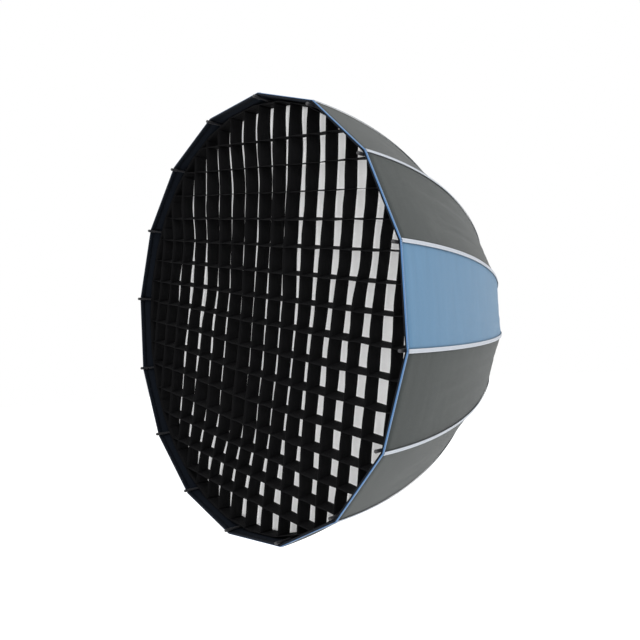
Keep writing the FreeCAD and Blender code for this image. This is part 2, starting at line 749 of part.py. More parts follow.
def frame_of(name, flat, corner_flat, front, depth, wall):
    """Outer band of that wall with the same outline."""
    outer = plate(f"{name}_outer", flat, corner_flat, front, depth)
    inner_front, inner_depth = front - OVERRUN, depth + 2 * OVERRUN
    inner = plate(f"{name}_inner", flat - wall, corner_flat - wall, inner_front, inner_depth)
    ring = doc.addObject("Part::Cut", name)
    ring.Base, ring.Tool = outer, inner
    return ring


def room_inside(depth):
    """Room at a depth: to the inner band's face, and to a rod's near side."""
    side_room = panel.radius_at(depth, lip_face) - rim_play
    rod_room = rod.radius_at(depth) - rod_radius - rod_play
    return side_room, rod_room


grid_back = grid_recess + grid_depth
grid_flat, grid_corner = room_inside(grid_back)
grid_edge = frame_of("edge_band", grid_flat, grid_corner, grid_recess, grid_depth, grid_border)
grid_field = plate(
    "grid_field", grid_flat - grid_border, grid_corner - grid_border, grid_recess, grid_depth
)
strip_long = 2 * rim_radius
put("strip_long", strip_long)


def family(way, pitch, length, height):
    """Parallel strips of the grid, one of them through the axis, each standing along the axis."""
    count = int(grid_flat / pitch - 0.5)
    made = []
    for number in range(-count, count + 1):
        strip = doc.addObject("Part::Box", f"strip_{way}_{number + count}")
        bind(strip, "Length", cell(length))
        bind(strip, "Width", cell("grid_depth"))
        bind(strip, "Height", cell(height))
        across, end = number * pitch - grid_strip / 2, -strip_long / 2
        x, z = (across, end) if way == "upright" else (end, across)
        strip.Placement = turned(grid_turn, FreeCAD.Vector(x, along(grid_recess), z))
        made.append(strip)
    return made


strips = family("upright", grid_pitch_across, "grid_strip", "strip_long")
strips += family("level", grid_pitch_up, "strip_long", "grid_strip")
lattice = doc.addObject("Part::MultiFuse", "lattice")
lattice.Shapes = strips
grid_cells = doc.addObject("Part::Common", "cell_walls")
grid_cells.Base, grid_cells.Tool = lattice, grid_field

cloth_front = grid_back + diffuser_gap
hem_back = cloth_front + fabric + diffuser_hem
cloth_flat, cloth_corner = room_inside(hem_back)
cloth = plate("cloth", cloth_flat, cloth_corner, cloth_front, fabric)
hem = frame_of("hem", cloth_flat, cloth_corner, cloth_front + fabric, diffuser_hem, band)

# --- sub-parts ----------------------------------------------------------------------------------

for number in range(SIDES):
    label = f"{number + 1:02d}"
    rib_place = turned((number - 0.5) * step_angle)
    node(f"rib_rod_{label}", [rod_solid, tip_cap], rib_place)
    node(f"rib_foot_{label}", [foot_in_place], rib_place)
    tape_side = turned(-0.5 * step_angle)
    tape_here = doc.addObject("Part::Compound", f"tape_{label}")
    tape_here.Links = [tape]
    tape_here.Placement = tape_side
    node(f"gore_{label}", [gore_panel, inner_band, binding, tape_here], turned(number * step_angle))

hub_place = turned(0.5 * step_angle)
node("hub_base", [base], hub_place)
node("hub_cap", [cap], hub_place)
node("hinge_pins", pins)
node("hub_screws", hub_screws, hub_place)
node("rear_clamp", [clamp])
node("bayonet_insert", [insert], hub_place)
node("insert_screws", insert_screws, hub_place)
node("front_diffuser", [cloth])
node("diffuser_hem", [hem])
node("grid_cells", [grid_cells])
node("grid_edge", [grid_edge])

doc.recompute()

for thing in doc.Objects:
    broken = [state for state in thing.State if state in ("Invalid", "Error")]
    if broken:
        raise RuntimeError(f"{thing.Name} did not recompute: {broken}")
for group in NODES:
    if group.Shape.isNull() or not group.Shape.isValid():
        raise RuntimeError(f"{group.Label} has no valid shape")

for group in NODES:
    group.Shape.exportStep(f"parts/{group.Label}.step")
    size = group.Shape.BoundBox
    lengths = f"{size.XLength:.1f} x {size.YLength:.1f} x {size.ZLength:.1f}"
    print(f"{group.Label}: {len(group.Shape.Solids)} solids, {lengths}")
print(f"rim to hinge {hinge_depth:.1f}, rim to seat {seat_depth:.1f}, root lean {deg(rod.last):.2f}")
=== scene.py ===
# %% [markdown]
# A sixteen-sided folding light shade. Its cloth is stretched over sixteen spring rods, and an egg-crate
# grid of black cloth hangs in its mouth before a white diffuser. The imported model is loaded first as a
# fixed frame, because every looks piece is placed by it. All lengths are metres.

# %% The frame
import json
import math
import random

import bmesh
import bpy
from mathutils import Matrix, Vector, noise

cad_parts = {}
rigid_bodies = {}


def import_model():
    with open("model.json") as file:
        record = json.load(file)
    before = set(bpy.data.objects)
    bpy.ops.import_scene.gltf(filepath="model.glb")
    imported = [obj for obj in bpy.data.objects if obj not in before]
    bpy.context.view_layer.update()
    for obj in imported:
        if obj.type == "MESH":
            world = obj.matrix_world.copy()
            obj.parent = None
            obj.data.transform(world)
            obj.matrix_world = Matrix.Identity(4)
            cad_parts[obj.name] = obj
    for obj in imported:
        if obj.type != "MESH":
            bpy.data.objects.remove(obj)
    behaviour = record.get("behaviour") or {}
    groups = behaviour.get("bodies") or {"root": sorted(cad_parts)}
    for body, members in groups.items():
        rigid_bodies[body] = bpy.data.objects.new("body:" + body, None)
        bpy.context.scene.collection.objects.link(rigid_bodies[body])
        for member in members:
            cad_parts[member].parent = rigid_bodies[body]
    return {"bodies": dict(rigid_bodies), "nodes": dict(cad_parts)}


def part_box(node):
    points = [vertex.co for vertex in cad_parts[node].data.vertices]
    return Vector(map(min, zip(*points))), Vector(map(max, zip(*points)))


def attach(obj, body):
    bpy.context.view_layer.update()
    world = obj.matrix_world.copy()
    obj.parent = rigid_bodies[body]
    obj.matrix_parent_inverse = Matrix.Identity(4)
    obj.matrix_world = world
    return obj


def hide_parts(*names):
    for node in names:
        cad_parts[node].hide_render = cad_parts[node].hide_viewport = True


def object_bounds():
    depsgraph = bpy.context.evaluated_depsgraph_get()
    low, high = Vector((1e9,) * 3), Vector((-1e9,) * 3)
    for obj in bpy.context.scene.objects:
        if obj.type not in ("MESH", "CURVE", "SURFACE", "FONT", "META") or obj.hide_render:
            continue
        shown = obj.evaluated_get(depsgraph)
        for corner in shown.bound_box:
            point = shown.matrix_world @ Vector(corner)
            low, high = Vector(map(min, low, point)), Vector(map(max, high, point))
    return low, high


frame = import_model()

cad_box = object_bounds()

# %% [markdown]
# Sizes come next. The optical axis is Y and the mouth opens towards -Y. A cloth panel is flat from rod to
# rod, and its middle line from rim to hub is two bends that meet. So two centres and two radii are
# enough to draw the whole shade, and every band on it is drawn from the same line moved in or out.

# %% The shade's line
MM = 0.001
SIDES = 16
STEP = 2 * math.pi / SIDES
HALF = STEP / 2
RIM = -0.645632  # Y of the rim plane
FRONT_BEND = {"centre": (-0.500863, RIM - 0.048431), "radius": 0.943461, "first": 0.051356, "last": 0.567132}
ROOT_BEND = {"centre": (-0.102167, RIM + 0.205511), "radius": 0.470761, "first": 0.567132, "last": 1.126821}
RIM_CORNER = 0.450
CLOTH = 0.8 * MM
WEBBING = 1.0 * MM
GAP = 0.3 * MM


def line_at(depth, inwards=0.0):
    """Radius of a panel's middle line at a depth behind the rim, on the front bend."""
    bend = FRONT_BEND["radius"] - inwards
    lean = math.asin((RIM + depth - FRONT_BEND["centre"][1]) / bend)
    return FRONT_BEND["centre"][0] + bend * math.cos(lean), lean


print("rim corner to corner:", round(2 * line_at(0)[0] / math.cos(HALF), 4))

# %% [markdown]
# The camera stands to the right of the mouth and a little below the axis, with a slight roll, and its
# lens is a short normal one. It's set before the pieces so that each one can be judged as it is made.

# %% Camera
camera_data = bpy.data.cameras.new("camera")
camera_data.lens = 40.28
camera_data.sensor_width = 36
camera_data.shift_x, camera_data.shift_y = 0.0003, -0.0031
camera = bpy.data.objects.new("camera", camera_data)
bpy.context.scene.collection.objects.link(camera)
camera.location = (1.19877, RIM - 0.83401, -0.10067)
looking = Vector((-0.75389, 0.65382, 0.06460))
ROLL = -math.radians(3.106)
camera.rotation_mode = "QUATERNION"
camera.rotation_quaternion = looking.to_track_quat("-Z", "Y") @ Matrix.Rotation(ROLL, 3, "Z").to_quaternion()
bpy.context.scene.camera = camera
print("camera at", [round(x, 3) for x in camera.location])

# %% [markdown]
# A studio sweep shows as white: a pale floor well under the shade, which a lamp on a stand would hold,
# and a white surround. Two large soft lamps give the panels their slight change of tone from top to
# bottom. The Standard view keeps the surround from turning grey.

# %% Floor and light
scene = bpy.context.scene
scene.view_settings.view_transform = "Standard"
FLOOR_DROP = 0.75
FLOOR_SIZE = 30


def soft_lamp(name, place, aim, size, power):
    lamp = bpy.data.lights.new(name, "AREA")
    lamp.size, lamp.energy = size, power
    holder = bpy.data.objects.new(name, lamp)
    scene.collection.objects.link(holder)
    holder.location = place
    holder.rotation_mode = "QUATERNION"
    holder.rotation_quaternion = (Vector(aim) - Vector(place)).to_track_quat("-Z", "Y")
    return holder


soft_lamp("key_lamp", (2.2, -2.6, 2.4), (0.2, -0.4, 0), 2.2, 60)
soft_lamp("fill_lamp", (-2.4, -3.0, 1.0), (0, -0.6, 0), 2.5, 25)
world = bpy.data.worlds.new("surround")
scene.world = world
world.use_nodes = True
world.node_tree.nodes["Background"].inputs["Color"].default_value = (1, 1, 1, 1)
world.node_tree.nodes["Background"].inputs["Strength"].default_value = 1.0

# %% [markdown]
# Materials are node trees. Writing shader sums as nodes by hand is long, so one small class wraps a
# socket: a sum on wrapped sockets adds the Math node it stands for. Anything else comes from `node`.


# %% Shader sums
class Term:
    """A socket in a shader sum."""

    def __init__(self, paint, socket):
        self.paint, self.socket = paint, socket

    def sum(self, kind, first, second):
        return self.paint.node("ShaderNodeMath", {"operation": kind}, {0: first, 1: second})

    def __add__(self, other):
        return self.sum("ADD", self, other)

    def __radd__(self, other):
        return self.sum("ADD", other, self)

    def __sub__(self, other):
        return self.sum("SUBTRACT", self, other)

    def __rsub__(self, other):
        return self.sum("SUBTRACT", other, self)

    def __mul__(self, other):
        return self.sum("MULTIPLY", self, other)

    def __rmul__(self, other):
        return self.sum("MULTIPLY", other, self)

    def __gt__(self, other):
        return self.sum("GREATER_THAN", self, other)

    def part(self, name):
        """Another output of the same node."""
        return Term(self.paint, self.socket.node.outputs[name])


class Paint:
    """One material and its nodes."""

    def __init__(self, name):
        self.material = bpy.data.materials.new(name)
        self.material.use_nodes = True
        self.tree = self.material.node_tree
        self.shader = self.tree.nodes["Principled BSDF"]

    def node(self, kind, settings, values):
        made = self.tree.nodes.new(kind)
        for key, value in settings.items():
            setattr(made, key, value)
        for key, value in values.items():
            if isinstance(value, Term):
                self.tree.links.new(value.socket, made.inputs[key])
            else:
                made.inputs[key].default_value = value
        return Term(self, next(out for out in made.outputs if out.enabled))

    def place(self):
        """Object coordinates, in metres."""
        return self.node("ShaderNodeTexCoord", {}, {}).part("Object")

    def cloth_place(self):
        """The piece's own map, in metres along and across the cloth."""
        return self.node("ShaderNodeUVMap", {"uv_map": "cloth"}, {})

    def axis(self, place, letter):
        return self.node("ShaderNodeSeparateXYZ", {}, {0: place}).part(letter)

    def wave(self, value, period):
        """From -1 to 1, once in each period."""
        return self.node("ShaderNodeMath", {"operation": "SINE"}, {0: value * (2 * math.pi / period)})

    def mottle(self, place, scale, detail=3.0, stretch=(1, 1, 1)):
        scaled = self.node("ShaderNodeMapping", {}, {"Vector": place, "Scale": stretch})
        return self.node("ShaderNodeTexNoise", {}, {"Vector": scaled, "Scale": scale, "Detail": detail})

    def mix(self, share, one, two):
        """A colour between two colours."""
        made = self.node("ShaderNodeMix", {"data_type": "RGBA"}, {})
        for socket, value in ((0, share), (6, one), (7, two)):
            if isinstance(value, Term):
                self.tree.links.new(value.socket, made.socket.node.inputs[socket])
            else:
                made.socket.node.inputs[socket].default_value = (*value, 1) if socket else value
        return Term(self, made.socket.node.outputs[2])

    def set(self, **values):
        """Sets the shader's own sockets, by name with _ for a space."""
        for key, value in values.items():
            socket = self.shader.inputs[key.replace("_", " ")]
            if isinstance(value, Term):
                self.tree.links.new(value.socket, socket)
            elif isinstance(value, tuple):
                socket.default_value = (*value, 1)
            else:
                socket.default_value = value
        return self

    def bump(self, height, distance, strength=1.0):
        raised = self.node(
            "ShaderNodeBump", {}, {"Height": height, "Distance": distance, "Strength": strength}
        )
        return self.set(Normal=raised)


print("shader helper ready")

# %% [markdown]
# Every cloth here is woven nylon or polyester. Close up it has a fine weave, from further off a faint
# mottle, and long soft streaks where it is pulled from rod to rod. One function makes all of them, with
# the weave's pitch and the streaks as its values, so the cloths differ only where the real ones do.

# %% Cloth
STREAK_SCALE = (70, 7, 1)
MOTTLE_SCALE = 260
STITCH_HALF, STITCH_PITCH, STITCH_SHARE = 0.45 * MM, 3.2 * MM, -0.55
WEAVE_RISE = 0.35 * MM


def cloth(
    name, colour, weave, streak=0.06, sheen=0.15, rough=0.75, gloss=0.3, stitches=(), thread=None, **own
):
    """Woven cloth on the map "cloth".

    stitches are the distances across at which a sewn line runs; own are more sockets of the shader.
    """
    paint = Paint(name)
    flat = paint.cloth_place()
    along, across = paint.axis(flat, "X"), paint.axis(flat, "Y")
    weave_height = paint.wave(along, weave) * paint.wave(across, weave)
    streaks = paint.mottle(flat, 1.0, 4.0, STREAK_SCALE)
    mottle = paint.mottle(flat, MOTTLE_SCALE, 2.0)
    tone = 1.0 + (streaks - 0.5) * (2 * streak) + (mottle - 0.5) * 0.16 + weave_height * 0.04
    dark = tuple(c * 0.5 for c in colour)
    bright = tuple(min(1.0, c * 1.5) for c in colour)
    base = paint.mix(tone - 0.5, dark, bright)
    height = weave_height * 0.35 + streaks * 2.0 + mottle * 0.3
    for line in stitches:
        near = paint.node("ShaderNodeMath", {"operation": "COMPARE"}, {0: across, 1: line, 2: STITCH_HALF})
        stitch = near * (paint.wave(along, STITCH_PITCH) > STITCH_SHARE)
        base = paint.mix(stitch, base, thread)
        height = height + stitch * 1.6 - near * 0.8
    paint.set(Base_Color=base, Roughness=rough + (mottle - 0.5) * 0.12)
    paint.set(Sheen_Weight=sheen, Sheen_Roughness=0.5, Specular_IOR_Level=gloss, **own)
    return paint.bump(height, WEAVE_RISE, 0.7).material


GREY = (0.031, 0.037, 0.0355)
BLUE = (0.094, 0.197, 0.315)
grey_cloth = cloth("grey_nylon", GREY, 1.1 * MM, streak=0.22)
blue_cloth = cloth("blue_nylon", BLUE, 1.1 * MM, streak=0.12)
silver_lining = cloth("silver_lining", (0.55, 0.55, 0.56), 3 * MM, sheen=0, rough=0.35, Metallic=0.85)
# The webbing's own dark colour, also used as painted shade on the turned-in side of the blue binding.
navy_webbing_and_binding_shade = cloth(
    "navy_webbing_and_binding_shade",
    (0.004, 0.006, 0.010),
    1.6 * MM,
    sheen=0,
    gloss=0.1,
    stitches=(-70 * MM, -4 * MM),
    thread=(0.02, 0.03, 0.05),
)
blue_binding = cloth(
    "blue_binding", (0.055, 0.15, 0.32), 1.3 * MM, stitches=(1.2 * MM,), thread=(0.30, 0.42, 0.60)
)
pale_tape = cloth(
    "pale_tape", (0.42, 0.45, 0.50), 1.3 * MM, stitches=(-2.4 * MM, 2.4 * MM), thread=(0.6, 0.62, 0.66)
)
# The diffuser lets light through from behind, which a little light of its own stands for.
white_cloth = cloth(
    "white_diffusion_cloth",
    (0.90, 0.90, 0.90),
    0.9 * MM,
    streak=0.02,
    rough=0.85,
    Emission_Color=(1, 1, 1),
    Emission_Strength=0.22,
)
black_cloth = cloth("black_grid_cloth", (0.0045, 0.0045, 0.005), 1.2 * MM, streak=0.15, sheen=0, gloss=0.05)
print("cloths:", len([m for m in bpy.data.materials if m.name.endswith(("cloth", "nylon"))]))

# %% [markdown]
# A piece of cloth starts as its cut edge seen from the side, one vertex swept along the shade's bends.
# That edge is spun about the axis to the next rod. Spinning gives a round band, so each vertex is then
# moved out to the flat plane between two rods. A grid bent vertex by vertex would do too, but the spin
# keeps rows along the rods and columns across, which the weave and the stretch at poses both follow.


# %% Sweeping an edge and spinning it
SAME_PLACE = 1e-6
FRONT_STEPS, ROOT_STEPS = 30, 18
BENDS_MEET = 0.457  # depth behind the rim


def swept(bm, bend, inwards, start, stop, steps, last=None):
    """Sweeps a vertex along a bend from one lean to another; returns the last vertex."""
    centre = Vector((*bend["centre"], 0))
    radius = bend["radius"] - inwards
    if last is None:
        place = centre + radius * Vector((math.cos(start), math.sin(start), 0))
        last = bmesh.ops.create_vert(bm, co=place)["vert"][0]
    made = bmesh.ops.spin(
        bm, geom=[last], cent=centre, axis=(0, 0, 1), angle=stop - start, steps=steps, use_merge=False
    )
    return next(g for g in made["geom_last"] if isinstance(g, bmesh.types.BMVert))


def swept_to_hub(bm, start=FRONT_BEND["first"]):
    """Sweeps a vertex along both bends, from the rim or a little behind it to the rear hem."""
    corner = swept(bm, FRONT_BEND, 0, start, FRONT_BEND["last"], FRONT_STEPS)
    swept(bm, ROOT_BEND, 0, ROOT_BEND["first"], ROOT_BEND["last"], ROOT_STEPS, last=corner)


def spun(bm, first, last, steps):
    """Spins the edge drawn so far about the optical axis, from one angle to another."""
    geom = bm.verts[:] + bm.edges[:]
    bmesh.ops.rotate(bm, verts=bm.verts, cent=(0, 0, 0), matrix=Matrix.Rotation(first, 3, "Y"))
    bmesh.ops.spin(
        bm, geom=geom, cent=(0, 0, 0), axis=(0, 1, 0), angle=last - first, steps=steps, use_merge=False
    )
    bmesh.ops.remove_doubles(bm, verts=bm.verts, dist=SAME_PLACE)
    bmesh.ops.recalc_face_normals(bm, faces=bm.faces)


def turn_of(co):
    """Angle about the axis, from -HALF at a panel's first rod to HALF at its second."""
    return math.atan2(-co.z, co.x)


def flattened(bm, sag=None):
    """Moves a round band out to the flat plane between the rods, less any sag."""
    for v in bm.verts:
        turn = turn_of(v.co)
        radius = math.hypot(v.co.x, v.co.z)
        share = 1 / math.cos(turn)
        inner = sag(turn / HALF, v.co.y - RIM) if sag else 0.0
        v.co.x *= share - inner / radius
        v.co.z *= share - inner / radius


def outwards(bm):
    """Turns the faces so that they look away from the axis."""
    bmesh.ops.recalc_face_normals(bm, faces=bm.faces)
    face = bm.faces[:][len(bm.faces) // 2]
    middle = face.calc_center_median()
    if face.normal.dot(Vector((middle.x, 0, middle.z))) < 0:
        bmesh.ops.reverse_faces(bm, faces=bm.faces)


def mapped(bm, rule):
    """Lays the piece's own flat map: rule(place) gives metres along and across."""
    layer = bm.loops.layers.uv.new("cloth")
    for face in bm.faces:
        for loop in face.loops:
            loop[layer].uv = rule(loop.vert.co)


def along_line(co):
    """Metres from the rim plane along a panel's middle line, whatever the place's turn."""
    depth = co.y - RIM
    bend = FRONT_BEND if depth < BENDS_MEET else ROOT_BEND
    lean = math.asin(max(-1.0, min(1.0, (co.y - bend["centre"][1]) / bend["radius"])))
    start = 0 if bend is FRONT_BEND else FRONT_BEND["radius"] * (FRONT_BEND["last"] - FRONT_BEND["first"])
    return start + bend["radius"] * (lean - bend["first"])


def panel_map(co):
    radius = math.hypot(co.x, co.z) * math.cos(turn_of(co))
    return along_line(co), radius * math.tan(turn_of(co))


LINE_LENGTH = sum(b["radius"] * (b["last"] - b["first"]) for b in (FRONT_BEND, ROOT_BEND))
print("panel's middle line:", round(LINE_LENGTH, 4))

# %% [markdown]
# Cloth has to follow the rods when the shade folds. So each piece rides on its rod and also has a small
# armature with one bone for each body it reaches to. A bone copies its body, and the weights share the
# cloth between the rods and the hub. Between the rods a little weight on the hub, which stays where it
# is, lets the slack stand out in a fold as it does on a half-closed umbrella. The fold starts beside
# the seam tape, so that the tape stays on top of the cloth.

# %% Stretching cloth between bodies
SLACK = 0.20  # the hub's share between two rods
CLAMPED = 0.16  # length of cloth that the rear clamp holds more and more
TAPE_HALF = 3.5 * MM
TAPE_ROOM = 1.3 * TAPE_HALF
FOLD_START = 26 * MM
LEAST_SHARE = 1e-4


def harness(name, body, others, whole=False):
    """An armature on a body with a bone for each other body. whole keeps the body's own travel."""
    data = bpy.data.armatures.new(name)
    rig = bpy.data.objects.new(name, data)
    scene.collection.objects.link(rig)
    bpy.context.view_layer.objects.active = rig
    bpy.ops.object.mode_set(mode="EDIT")
    for other in others:
        bone = data.edit_bones.new(other)
        bone.head, bone.tail = (0, 0, 0), (0, 0.1, 0)
    bpy.ops.object.mode_set(mode="OBJECT")
    rig.parent = frame["bodies"][body]
    for other in others:
        follow = rig.pose.bones[other].constraints.new("COPY_TRANSFORMS")
        follow.target = frame["bodies"][other]
        if whole:
            follow.owner_space = "POSE"
    return rig


def stretched(piece, rig, shares):
    """Gives each point its share of each body: shares(place) is {body: share}."""
    groups = {bone.name: piece.vertex_groups.new(name=bone.name) for bone in rig.data.bones}
    for v in piece.data.vertices:
        for body, share in shares(v.co).items():
            if share > LEAST_SHARE:
                groups[body].add([v.index], share, "REPLACE")
    bend = piece.modifiers.new("stretch", "ARMATURE")
    bend.object = rig
    return piece


def smooth(x):
    x = max(0.0, min(1.0, x))
    return x * x * (3 - 2 * x)


def rib(number):
    return f"rib_{(number - 1) % SIDES + 1:02d}"


def clamped(co):
    """The hub's share where the rear clamp holds the cloth."""
    return smooth((along_line(co) - (LINE_LENGTH - CLAMPED)) / CLAMPED)


def panel_shares(number):
    """Shares for a piece between rods number and number + 1."""
    middle = (number - 1) * STEP

    def shares(co):
        turn = (turn_of(co) - middle + math.pi) % (2 * math.pi) - math.pi
        over = max(0.0, min(1.0, turn / STEP + 0.5))
        held = clamped(co)
        aside = min(over, 1 - over) * STEP * math.hypot(co.x, co.z)
        free = smooth((aside - TAPE_ROOM) / FOLD_START)
        loose = held + (1 - held) * 4 * over * (1 - over) * SLACK * free
        return {rib(number): (1 - over) * (1 - loose), rib(number + 1): over * (1 - loose), "hub": loose}

    return shares


NUMBERS = range(1, SIDES + 1)
harnesses = [harness(f"harness_{n:02d}", rib(n), [rib(n), rib(n + 1), "hub"]) for n in NUMBERS]
print("harnesses:", len(harnesses))

# %% [markdown]
# Finishing a piece is always the same: the bmesh becomes an object at the origin, with its materials,
# a thickness, smooth shading and a ride.


# %% Finishing a piece
def piece(name, bm, materials, body, slot, thick, offset=-1.0, inner_material=0):
    mesh = bpy.data.meshes.new(name)
    bm.to_mesh(mesh)
    bm.free()
    mesh.polygons.foreach_set("use_smooth", [True] * len(mesh.polygons))
    for material in materials:
        mesh.materials.append(material)
    made = bpy.data.objects.new(name, mesh)
    scene.collection.objects.link(made)
    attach(made, body)
    wall = made.modifiers.new("wall", "SOLIDIFY")
    wall.thickness, wall.offset = thick, offset
    wall.material_offset = inner_material
    wall.use_even_offset = True
    return made


def turned(bm, number):
    """Turns a piece made at the first panel to its own place."""
    bmesh.ops.rotate(
        bm, verts=bm.verts, cent=(0, 0, 0), matrix=Matrix.Rotation((number - 1) * STEP, 3, "Y")
    )


# %% [markdown]
# The panels come first. Each is one cut of thin nylon, silver inside, sewn to its neighbours along the
# rods. It isn't quite flat: behind the inner band, the pull from rim to hub draws its middle in by a few
# millimetres, with faint pleats in it. Both are small moves of the spun sheet.

# %% Panels
SAG, PLEAT, RIPPLE = 2.6 * MM, 1.8 * MM, 1.0 * MM
BAND_START, BAND_END = 1 * MM, 78 * MM
SAG_GROWS, SAG_ENDS, SAG_FADES = 0.10, 0.60, 0.20
PANEL_STEPS = 24
SEAM_TURN = math.asin(GAP / 2 / RIM_CORNER)


def panel_sag(number):
    shift = Vector((number * 3.7, number * 1.3, 0.4))

    def sag(across, depth):
        fade = smooth((depth - BAND_END) / SAG_GROWS) * smooth((SAG_ENDS - depth) / SAG_FADES)
        pleat = noise.noise(Vector((across * 5.0, depth * 2.2, 0)) + shift)
        ripple = noise.noise(Vector((across * 14.0, depth * 4.0, 7)) + shift)
        return (1 - across * across) * fade * (SAG + PLEAT * pleat + RIPPLE * ripple)

    return sag


def panel(number):
    bm = bmesh.new()
    swept_to_hub(bm)
    spun(bm, -HALF + SEAM_TURN, HALF - SEAM_TURN, PANEL_STEPS)
    outwards(bm)
    mapped(bm, panel_map)
    flattened(bm, panel_sag(number))
    turned(bm, number)
    outer, slot = (blue_cloth, "blue_cloth") if number == 1 else (grey_cloth, "grey_cloth")
    made = piece(f"panel_{number:02d}", bm, [outer, silver_lining], rib(number), slot, CLOTH, -1.0, 1)
    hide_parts(f"gore_{number:02d}")
    return stretched(made, harnesses[number - 1], panel_shares(number))


panels = [panel(n) for n in NUMBERS]
print("panels:", len(panels), "with", len(panels[0].data.vertices), "points each")

# %% [markdown]
# Inside the mouth a band of dark webbing runs round the shade, a hand's width deep. It hides the ends
# of the diffuser and the grid, and it's what they hold on to. It is the same line, moved in.

# %% Inner band
BAND_IN = CLOTH + GAP
BAND_STEPS = 8


def inner_band(number):
    bm = bmesh.new()
    start, stop = line_at(BAND_START, BAND_IN)[1], line_at(BAND_END, BAND_IN)[1]
    swept(bm, FRONT_BEND, BAND_IN, start, stop, BAND_STEPS)
    spun(bm, -HALF + SEAM_TURN, HALF - SEAM_TURN, PANEL_STEPS)
    outwards(bm)
    mapped(bm, lambda co: (panel_map(co)[1], -along_line(co)))
    flattened(bm)
    turned(bm, number)
    made = piece(f"inner_band_{number:02d}", bm, [navy_webbing_and_binding_shade], rib(number), "grid_cloth", WEBBING)
    return stretched(made, harnesses[number - 1], panel_shares(number))


inner_bands = [inner_band(n) for n in NUMBERS]
print("inner bands:", len(inner_bands))

# %% [markdown]
# Blue binding is folded over the rim's edge. Its outside is blue; the side that's turned in is painted as
# dark as the webbing, which is painted shade for the shadow that side lies in, so from the front the rim is
# a thin blue line. Its section is four vertices joined by three edges; the two corners are bevelled so that
# the fold is round. The second material, the painted shade, goes to the faces that are inside.

# %% Binding
BINDING_FRONT = 1.1 * MM
BINDING_OUT, BINDING_IN = 2.4 * MM, 8 * MM
# How far the blue reaches in from the outer edge; past it the binding is painted dark as shade.
BLUE_BEFORE_PAINTED_SHADE = 1.6 * MM
BINDING_WALL = 0.8 * MM
FOLD_ROUND = 0.6 * MM
NEAR_FRONT = 1e-5
NO_TURN = 1e-4


def binding(number):
    bm = bmesh.new()
    outside = RIM_CORNER * math.cos(HALF) + GAP + WEBBING / 2
    inside = line_at(BINDING_IN)[0] - (CLOTH + 2 * GAP + 1.5 * WEBBING)
    front = RIM - BINDING_FRONT
    corners = [(outside, RIM + BINDING_OUT), (outside, front), (inside, front), (inside, RIM + BINDING_IN)]
    verts = [bmesh.ops.create_vert(bm, co=(x, y, 0))["vert"][0] for x, y in corners]
    for one, two in zip(verts, verts[1:]):
        bmesh.ops.contextual_create(bm, geom=[one, two])
    spun(bm, -HALF + SEAM_TURN, HALF - SEAM_TURN, PANEL_STEPS)
    folds = [e for e in bm.edges if all(abs(v.co.y - front) < NEAR_FRONT for v in e.verts)]
    folds = [e for e in folds if abs(turn_of(e.verts[0].co) - turn_of(e.verts[1].co)) > NO_TURN]
    bmesh.ops.bevel(
        bm, geom=folds, offset=FOLD_ROUND, segments=3, profile=0.5, affect="EDGES", material=-1
    )
    outwards(bm)

    def section(co):
        """Metres from the outer edge, round the fold, to the inner edge."""
        outer = math.hypot(co.x, co.z) > (outside + inside) / 2
        depth = co.y - RIM
        return BINDING_OUT - depth if outer else BINDING_OUT + 2 * BINDING_FRONT + depth

    mapped(bm, lambda co: (panel_map(co)[1], section(co)))
    flattened(bm)
    # Faces turned in past the blue edge get the dark cloth: painted shade of the side that lies in shadow.
    for face in bm.faces:
        middle = face.calc_center_median()
        if math.hypot(middle.x, middle.z) * math.cos(turn_of(middle)) < outside - BLUE_BEFORE_PAINTED_SHADE:
            face.material_index = 1
    turned(bm, number)
    cloths = [blue_binding, navy_webbing_and_binding_shade]
    made = piece(f"binding_{number:02d}", bm, cloths, rib(number), "blue_cloth", BINDING_WALL, 0.0)
    return stretched(made, harnesses[number - 1], panel_shares(number))


bindings = [binding(n) for n in NUMBERS]
print("bindings:", len(bindings))

# %% [markdown]
# Each seam is covered by a pale tape that bends over the corner between two panels. A tape keeps its
# width from rim to hub, and a spun band doesn't. So it is spun wide, and each point is then moved to its
# share of the tape's width and over the corner. It stands a little proud, as a tape over a seam does.

# %% Seam tapes
TAPE_START = BINDING_OUT + GAP
TAPE_STEPS = 6
TAPE_ROUND = 1.2 * MM
TAPE_LIFT = GAP + 1.3 * MM
TAPE_WALL = 0.8 * MM


def seam_tape(number):
    bm = bmesh.new()
    swept_to_hub(bm, line_at(TAPE_START)[1])
    spun(bm, -HALF, HALF, TAPE_STEPS)
    outwards(bm)
    for v in bm.verts:
        across = turn_of(v.co) / HALF * TAPE_HALF
        corner_radius = math.hypot(v.co.x, v.co.z) / math.cos(HALF)
        drop = math.sqrt(across**2 + TAPE_ROUND**2) - TAPE_ROUND
        v.co.x = corner_radius + TAPE_LIFT - drop * math.tan(HALF)
        v.co.z = -across
    mapped(bm, lambda co: (along_line(co), co.z))
    turned(bm, number - 0.5)
    made = piece(f"seam_tape_{number:02d}", bm, [pale_tape], rib(number), "white_cloth", TAPE_WALL, 0.0)
    return stretched(
        made, harnesses[number - 1], lambda co: {rib(number): 1 - clamped(co), "hub": clamped(co)}
    )


seam_tapes = [seam_tape(n) for n in NUMBERS]
print("seam tapes:", len(seam_tapes))

# %% [markdown]
# The width of a panel at the rim and the length of its middle line are printed here. A panel narrows towards
# the hub, so its area is less.

# %% Cut size of the panels
WIDE = 2 * RIM_CORNER * math.sin(HALF)
NARROWING = 0.76
for number, (cloth_panel, band) in enumerate(zip(panels, inner_bands)):
    f"rib_rod_{number + 1:02d}"
    f"rib_rod_{(number + 1) % SIDES + 1:02d}"
    NARROWING * WIDE * LINE_LENGTH
print("panels cut from", round(WIDE, 4), "by", round(LINE_LENGTH, 4))

